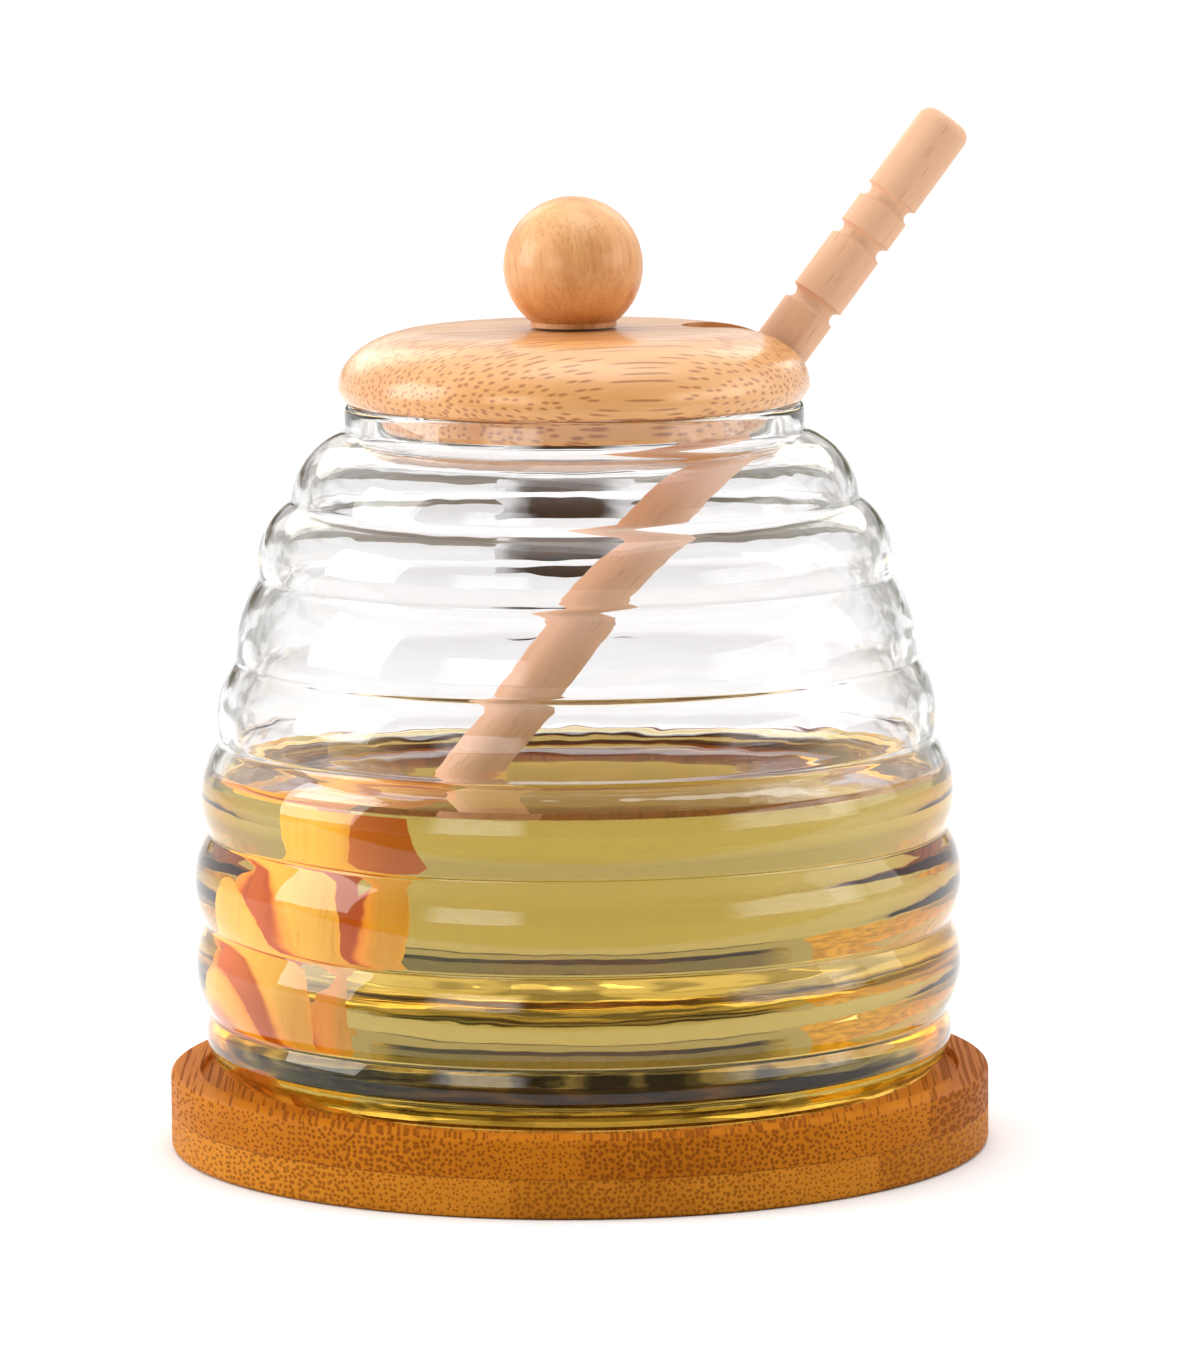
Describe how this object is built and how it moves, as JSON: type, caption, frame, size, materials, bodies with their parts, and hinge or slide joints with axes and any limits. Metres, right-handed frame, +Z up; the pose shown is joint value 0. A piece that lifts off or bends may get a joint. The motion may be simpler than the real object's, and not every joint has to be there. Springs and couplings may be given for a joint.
{
  "type": "honey storage jar",
  "caption": "Beehive-shaped glass honey jar with a knobbed bamboo lid, notched for its turned wooden dipper, standing in a recessed bamboo coaster and part filled with clear honey.",
  "frame": {"origin": "middle of the coaster's underside", "axes": "+Z up along the jar's axis, +X to the right as the jar is seen from its front, +Y away from the viewer"},
  "size_m": [0.1156, 0.1156, 0.1449],
  "materials": {
    "coaster_bamboo": "two glued layers of bamboo, sanded and oiled",
    "clear_glass": "clear mould-blown glass",
    "clear_honey": "clear light golden honey",
    "dipper_wood": "plain turned beech",
    "lid_bamboo": "turned bamboo with a satin clear coat",
    "knob_wood": "turned wood with a satin clear coat"
  },
  "bodies": {
    "root": {"coaster": "coaster_bamboo", "glass_jar": "clear_glass", "honey": "clear_honey", "dipper": "dipper_wood", "lid": "lid_bamboo", "knob": "knob_wood"}
  },
  "joints": []
}
